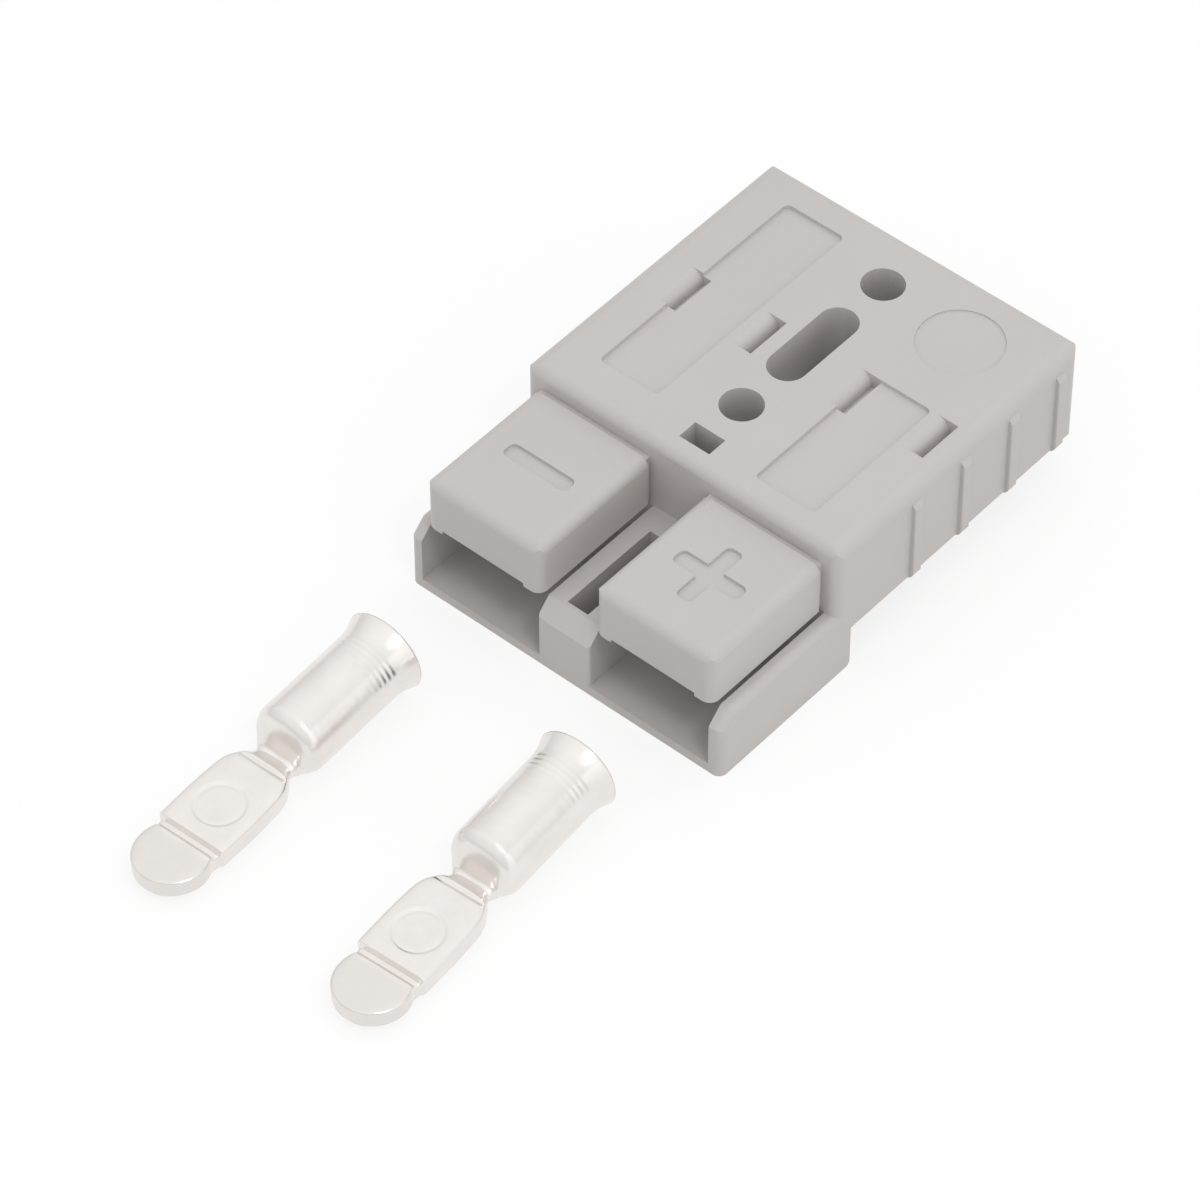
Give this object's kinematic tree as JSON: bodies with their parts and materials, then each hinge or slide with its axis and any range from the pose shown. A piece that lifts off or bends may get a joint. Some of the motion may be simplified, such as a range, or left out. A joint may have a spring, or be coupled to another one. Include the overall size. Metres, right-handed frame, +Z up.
{
  "type": "genderless power connector",
  "caption": "Flat two-pole genderless power connector housing with hooded mating end, leaf springs inside and crimp contacts lying beside it.",
  "frame": {"origin": "midway between the two mounting holes, on the mating plane", "axes": "+Z up out of the face with the holes and panels, +Y from the mating end to the cable end, +X across to the pole marked plus"},
  "size_m": [0.0376, 0.094, 0.016],
  "materials": {
    "housing": "fine moulded texture",
    "spring": "stainless spring strip",
    "contact": "silver plate on copper"
  },
  "bodies": {
    "root": {"housing": "housing", "spring_left": "spring", "spring_right": "spring", "contact_left": "contact", "contact_right": "contact"}
  },
  "joints": []
}
